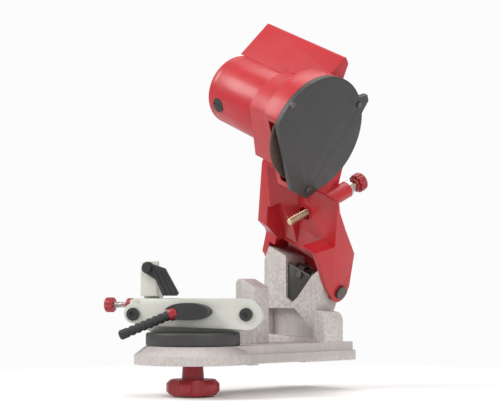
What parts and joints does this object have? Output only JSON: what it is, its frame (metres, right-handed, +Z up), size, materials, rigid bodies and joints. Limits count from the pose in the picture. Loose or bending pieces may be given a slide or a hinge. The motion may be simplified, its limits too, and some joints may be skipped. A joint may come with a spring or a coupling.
{
  "type": "electric saw-chain sharpener",
  "caption": "Bench-mounted electric saw-chain sharpener: tilted red motor head hinged over a swivelling chain vise with lever clamp, pawl stop and depth screw.",
  "frame": {"origin": "centre of the four bench bolt holes, on the underside of the base", "axes": "+X to the user's right, +Y away from the user towards the hinge tower, +Z up"},
  "size_m": [0.2094, 0.2651, 0.382],
  "materials": {
    "cast_alloy": "as-cast, satin",
    "jaw_alloy": "zinc plated, satin",
    "stop_plate": "zinc plated",
    "red_plastic": "moulded, semi-gloss",
    "dark_plastic": "moulded, fine texture",
    "black_rubber": "matt",
    "bright_steel": "zinc plated",
    "black_steel": "black oxide",
    "bush_bronze": "sintered",
    "core_steel": "laminated core with windings",
    "copper": "turned bars",
    "carbon": "pressed carbon",
    "abrasive": "bonded abrasive, rough"
  },
  "bodies": {
    "frame": {"base_plate": "cast_alloy", "hinge_tower": "cast_alloy", "tower_screws": "bright_steel", "stop_anvil": "cast_alloy", "anvil_screw": "bright_steel", "spring_cover": "dark_plastic", "cover_screw": "bright_steel", "hinge_pin": "bright_steel", "pin_clip": "bright_steel", "return_spring": "bright_steel"},
    "head": {"head_arm": "red_plastic", "hinge_bushes": "bush_bronze", "motor_housing": "red_plastic", "end_cap": "red_plastic", "tie_screws": "bright_steel", "switch_box": "red_plastic", "switch_frame": "dark_plastic", "cord_gland": "black_rubber", "ball_bearings": "bright_steel", "stator": "core_steel", "brushes": "carbon", "brush_holders": "dark_plastic", "brush_caps": "dark_plastic", "wheel_cover": "dark_plastic", "guard_screws": "bright_steel", "depth_nut": "bright_steel"},
    "spindle": {"spindle_shaft": "bright_steel", "armature": "core_steel", "commutator": "copper", "cooling_fan": "dark_plastic", "inner_flange": "bright_steel", "outer_flange": "bright_steel", "wheel_nut": "bright_steel", "grinding_wheel": "abrasive"},
    "rocker": {"switch_rocker": "dark_plastic"},
    "depth_stop_screw": {"depth_screw": "bright_steel"},
    "depth_stop_knob": {"depth_knob": "red_plastic"},
    "vise": {"turntable": "dark_plastic", "pivot_stud": "bright_steel", "lock_washer": "bright_steel", "rear_jaw": "jaw_alloy", "vise_screws": "bright_steel", "jaw_screws": "black_steel", "jaw_springs": "bright_steel", "clamp_stud": "bright_steel"},
    "vise_lock": {"lock_knob": "red_plastic"},
    "moving_jaw": {"front_jaw": "jaw_alloy"},
    "clamp_lever": {"lever_hub": "dark_plastic", "lever_collar": "red_plastic", "lever_arm": "black_rubber"},
    "chain_stop": {"stop_bracket": "stop_plate", "pawl_screw": "bright_steel"},
    "pawl": {"chain_pawl": "black_steel"},
    "adjuster": {"adjuster_rod": "bright_steel", "adjuster_knob": "red_plastic"},
    "adjuster_lock": {"lock_wheel": "red_plastic"}
  },
  "joints": [
    {"name": "head_swing", "type": "hinge", "parent": "frame", "child": "head", "pos_m": [0.0093, 0.00985, 0.0887], "axis": [0.9063, 0, -0.4226], "range_deg": [0, 51], "stiffness_Nm_per_rad": 2.2, "springref_deg": -54.43},
    {"name": "wheel_spin", "type": "hinge", "parent": "head", "child": "spindle", "pos_m": [0.0754, -0.07165, 0.23045], "axis": [0.9063, 0, -0.4226], "continuous": true},
    {"name": "switch_rock", "type": "hinge", "parent": "head", "child": "rocker", "pos_m": [0.04481, -0.04415, 0.30209], "axis": [0.4226, 0, 0.9063], "range_deg": [0, 8]},
    {"name": "depth_screw_feed", "type": "slide", "parent": "head", "child": "depth_stop_screw", "axis": [0.2075, 0.8712, 0.4449], "range_m": [0, 0.0075]},
    {"name": "depth_knob_turn", "type": "hinge", "parent": "depth_stop_screw", "child": "depth_stop_knob", "pos_m": [0.03088, -0.05165, 0.14208], "axis": [0.2075, 0.8712, 0.4449], "range_deg": [0, 2160]},
    {"name": "vise_swivel", "type": "hinge", "parent": "frame", "child": "vise", "pos_m": [0, -0.1585, 0.0186], "axis": [0, 0, 1], "range_deg": [-62.4, 7.6]},
    {"name": "lock_knob_turn", "type": "hinge", "parent": "vise", "child": "vise_lock", "pos_m": [0, -0.1585, -0.02], "axis": [0, 0, 1], "range_deg": [0, 360]},
    {"name": "jaw_slide", "type": "slide", "parent": "vise", "child": "moving_jaw", "axis": [-0.4602, 0.8878, 0], "range_m": [0, 0.0008]},
    {"name": "clamp_lever_turn", "type": "hinge", "parent": "moving_jaw", "child": "clamp_lever", "pos_m": [0.00681, -0.1686, 0.0518], "axis": [-0.4602, 0.8878, 0], "range_deg": [0, 60]},
    {"name": "chain_stop_slide", "type": "slide", "parent": "vise", "child": "chain_stop", "axis": [0.8878, 0.4602, 0], "range_m": [-0.003, 0.003]},
    {"name": "adjuster_turn", "type": "hinge", "parent": "vise", "child": "adjuster", "pos_m": [-0.06395, -0.17419, 0.058], "axis": [0.8878, 0.4602, 0], "range_deg": [-1080, 1080]},
    {"name": "lock_wheel_turn", "type": "hinge", "parent": "vise", "child": "adjuster_lock", "pos_m": [-0.07372, -0.17925, 0.058], "axis": [0.8878, 0.4602, 0], "range_deg": [0, 90]},
    {"name": "pawl_flip", "type": "hinge", "parent": "chain_stop", "child": "pawl", "pos_m": [-0.04069, -0.18105, 0.0945], "axis": [0.4602, -0.8878, 0], "range_deg": [0, 15]}
  ],
  "couplings": [
    {"joint": "depth_knob_turn", "follows": "depth_screw_feed", "rad_per_m": 5026.5},
    {"joint": "clamp_lever_turn", "follows": "jaw_slide", "rad_per_m": 1309},
    {"joint": "adjuster_turn", "follows": "chain_stop_slide", "rad_per_m": -6283.2}
  ]
}
